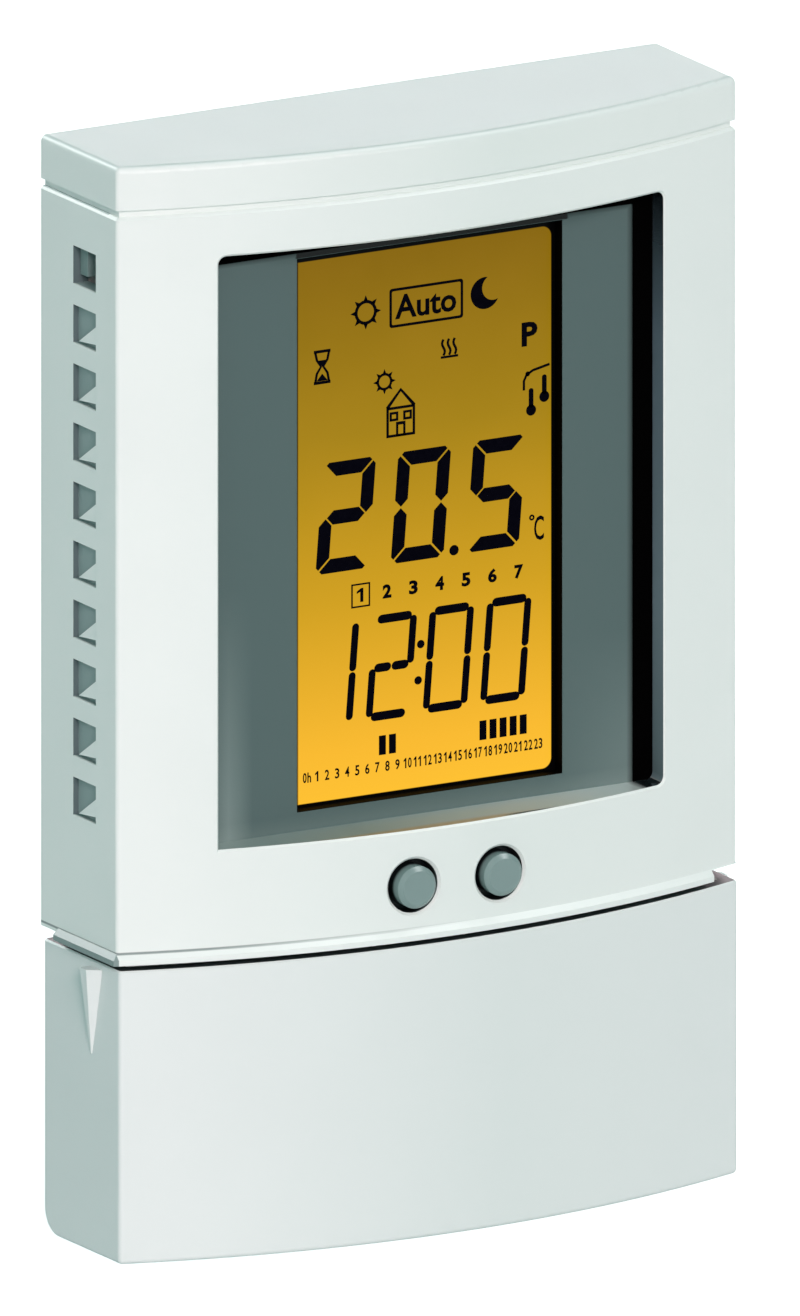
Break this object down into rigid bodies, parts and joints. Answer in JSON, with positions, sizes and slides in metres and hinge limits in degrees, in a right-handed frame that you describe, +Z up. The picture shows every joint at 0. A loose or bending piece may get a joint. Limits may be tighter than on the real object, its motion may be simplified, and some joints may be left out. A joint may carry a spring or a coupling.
{
  "type": "programmable room thermostat",
  "caption": "Wall-mounted heating programmer: bowed case, backlit display in a deep window, two round buttons, and a hinged lower cover over keys and batteries.",
  "frame": {"origin": "on the wall, at the centre of the two slotted fixing holes", "axes": "+Z up, +X to the user's right, +Y into the wall (the front faces -Y)"},
  "size_m": [0.0848, 0.0255, 0.13],
  "materials": {
    "case_plastic": "satin, fine grain",
    "base_plastic": "satin",
    "bezel_plastic": "glossy",
    "seal_foam": "matt",
    "display_glass": "semi-gloss",
    "guide_acrylic": "glossy",
    "button_plastic": "satin",
    "holder_plastic": "satin",
    "board_green": "solder mask",
    "black_epoxy": "satin",
    "contact_rubber": "matt",
    "nickel": "bright",
    "zinc_steel": "zinc plated",
    "terminal_green": "satin",
    "led_epoxy": "clear",
    "cell_jacket": "printed sleeve",
    "aluminium_can": "bright"
  },
  "bodies": {
    "unit": {"wall_plate": "base_plastic", "terminal_block": "terminal_green", "terminal_screws": "zinc_steel", "contact_blades": "nickel", "chassis": "base_plastic", "front_cover": "case_plastic", "top_cap": "case_plastic", "control_panel": "case_plastic", "display_bezel": "bezel_plastic", "light_seal": "seal_foam", "lcd_glass": "display_glass", "light_guide": "guide_acrylic", "backlight_leds": "led_epoxy", "connector_strips": "contact_rubber", "display_holder": "holder_plastic", "main_board": "board_green", "key_switches": "black_epoxy", "slide_switch": "zinc_steel", "microcontroller": "black_epoxy", "quartz_crystal": "aluminium_can", "capacitors": "aluminium_can", "relay": "black_epoxy", "temperature_sensor": "button_plastic", "battery_upper": "cell_jacket", "battery_lower": "cell_jacket", "battery_contacts": "nickel", "case_screw": "zinc_steel", "board_screws": "zinc_steel", "cover_screws": "zinc_steel"},
    "door": {"door": "case_plastic"},
    "button_left": {"button_left": "button_plastic"},
    "button_right": {"button_right": "button_plastic"},
    "program_key_1": {"program_key_1": "button_plastic"},
    "program_key_2": {"program_key_2": "button_plastic"},
    "program_key_3": {"program_key_3": "button_plastic"},
    "program_key_4": {"program_key_4": "button_plastic"},
    "mode_slider": {"mode_slider": "button_plastic"}
  },
  "joints": [
    {"name": "door_hinge", "type": "hinge", "parent": "unit", "child": "door", "pos_m": [0, -0.0034, -0.0616], "axis": [1, 0, 0], "range_deg": [0, 90]},
    {"name": "button_left_press", "type": "slide", "parent": "unit", "child": "button_left", "axis": [0, 1, 0], "range_m": [0, 0.0006], "stiffness_N_per_m": 1500, "springref_m": -0.0004},
    {"name": "button_right_press", "type": "slide", "parent": "unit", "child": "button_right", "axis": [0, 1, 0], "range_m": [0, 0.0006], "stiffness_N_per_m": 1500, "springref_m": -0.0004},
    {"name": "program_key_1_press", "type": "slide", "parent": "unit", "child": "program_key_1", "axis": [0, 1, 0], "range_m": [0, 0.0005], "stiffness_N_per_m": 1500, "springref_m": -0.0004},
    {"name": "program_key_2_press", "type": "slide", "parent": "unit", "child": "program_key_2", "axis": [0, 1, 0], "range_m": [0, 0.0005], "stiffness_N_per_m": 1500, "springref_m": -0.0004},
    {"name": "program_key_3_press", "type": "slide", "parent": "unit", "child": "program_key_3", "axis": [0, 1, 0], "range_m": [0, 0.0005], "stiffness_N_per_m": 1500, "springref_m": -0.0004},
    {"name": "program_key_4_press", "type": "slide", "parent": "unit", "child": "program_key_4", "axis": [0, 1, 0], "range_m": [0, 0.0005], "stiffness_N_per_m": 1500, "springref_m": -0.0004},
    {"name": "mode_slide", "type": "slide", "parent": "unit", "child": "mode_slider", "axis": [1, 0, 0], "range_m": [0, 0.0035]}
  ]
}
